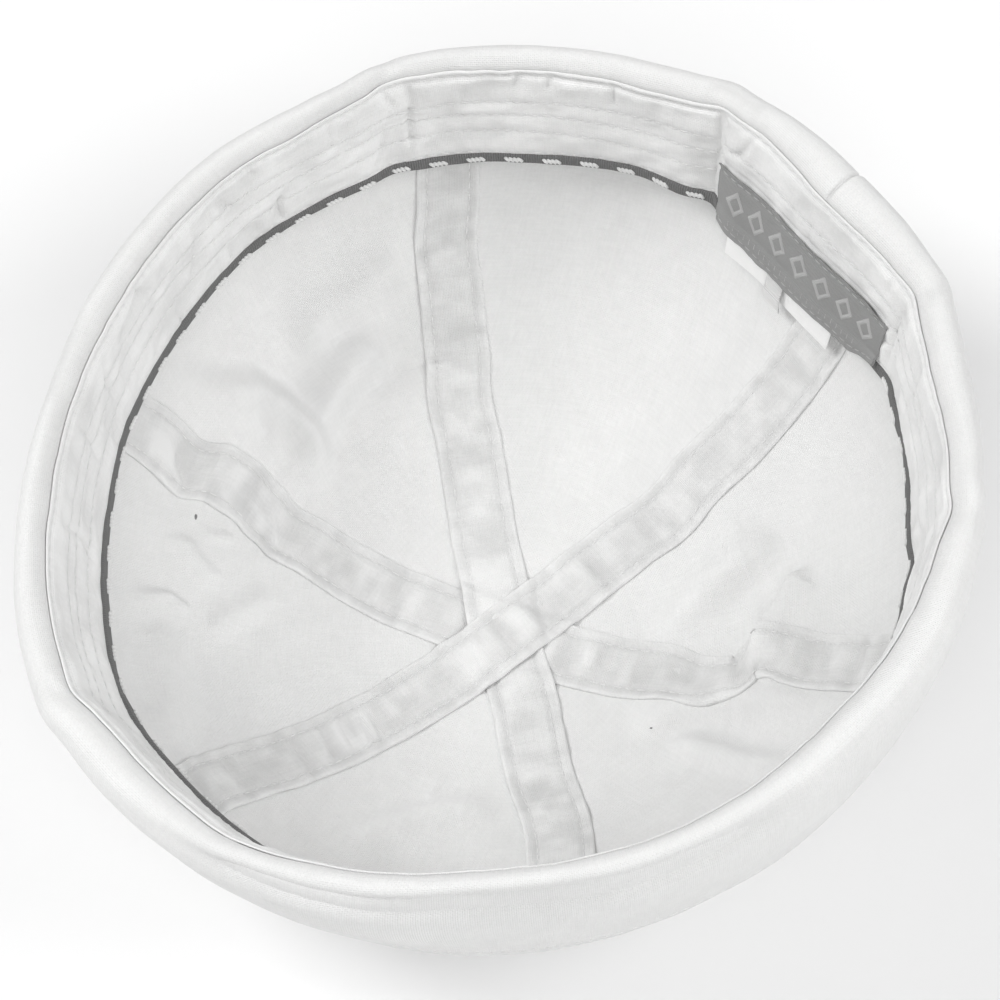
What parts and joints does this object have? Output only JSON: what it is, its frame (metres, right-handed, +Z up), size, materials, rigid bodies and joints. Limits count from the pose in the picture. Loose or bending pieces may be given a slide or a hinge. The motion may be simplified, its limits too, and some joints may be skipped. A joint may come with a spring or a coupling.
{
  "type": "docker cap",
  "caption": "Brimless woven cotton docker cap with a panelled crown, turned-up cuff, stitched sweatband and taped inner seams, lying upside down on its crown.",
  "frame": {"origin": "under the middle of the cap's box, on the surface that the flattened crown rests on", "axes": "+Z up out of the head opening, +Y towards the back of the cap where the label is, +X to the right seen from above with the back away"},
  "size_m": [0.1994, 0.2164, 0.0845],
  "materials": {
    "crown_cotton": "plain woven cotton, washed, off-white, matt",
    "tape_cotton": "plain woven cotton tape, twin stitched, matt",
    "cuff_cotton": "plain woven cotton, double layer, matt",
    "band_cotton": "plain woven cotton, quilted in rows, matt",
    "binding_ribbon": "dark grey grosgrain ribbon with small pale slanted marks",
    "label_weave": "dark grey woven label, slight sheen",
    "label_satin": "white satin ribbon, smooth",
    "tab_ribbon": "pale ribbed ribbon"
  },
  "bodies": {
    "root": {"crown_panel_1": "crown_cotton", "crown_panel_2": "crown_cotton", "crown_panel_3": "crown_cotton", "crown_panel_4": "crown_cotton", "crown_panel_5": "crown_cotton", "crown_panel_6": "crown_cotton", "seam_tape_lower": "tape_cotton", "seam_tape_middle": "tape_cotton", "seam_tape_upper": "tape_cotton", "sweatband": "band_cotton", "sweatband_binding": "binding_ribbon", "cuff": "cuff_cotton", "back_label": "label_weave", "care_label": "label_satin", "size_tab": "tab_ribbon"}
  },
  "joints": []
}
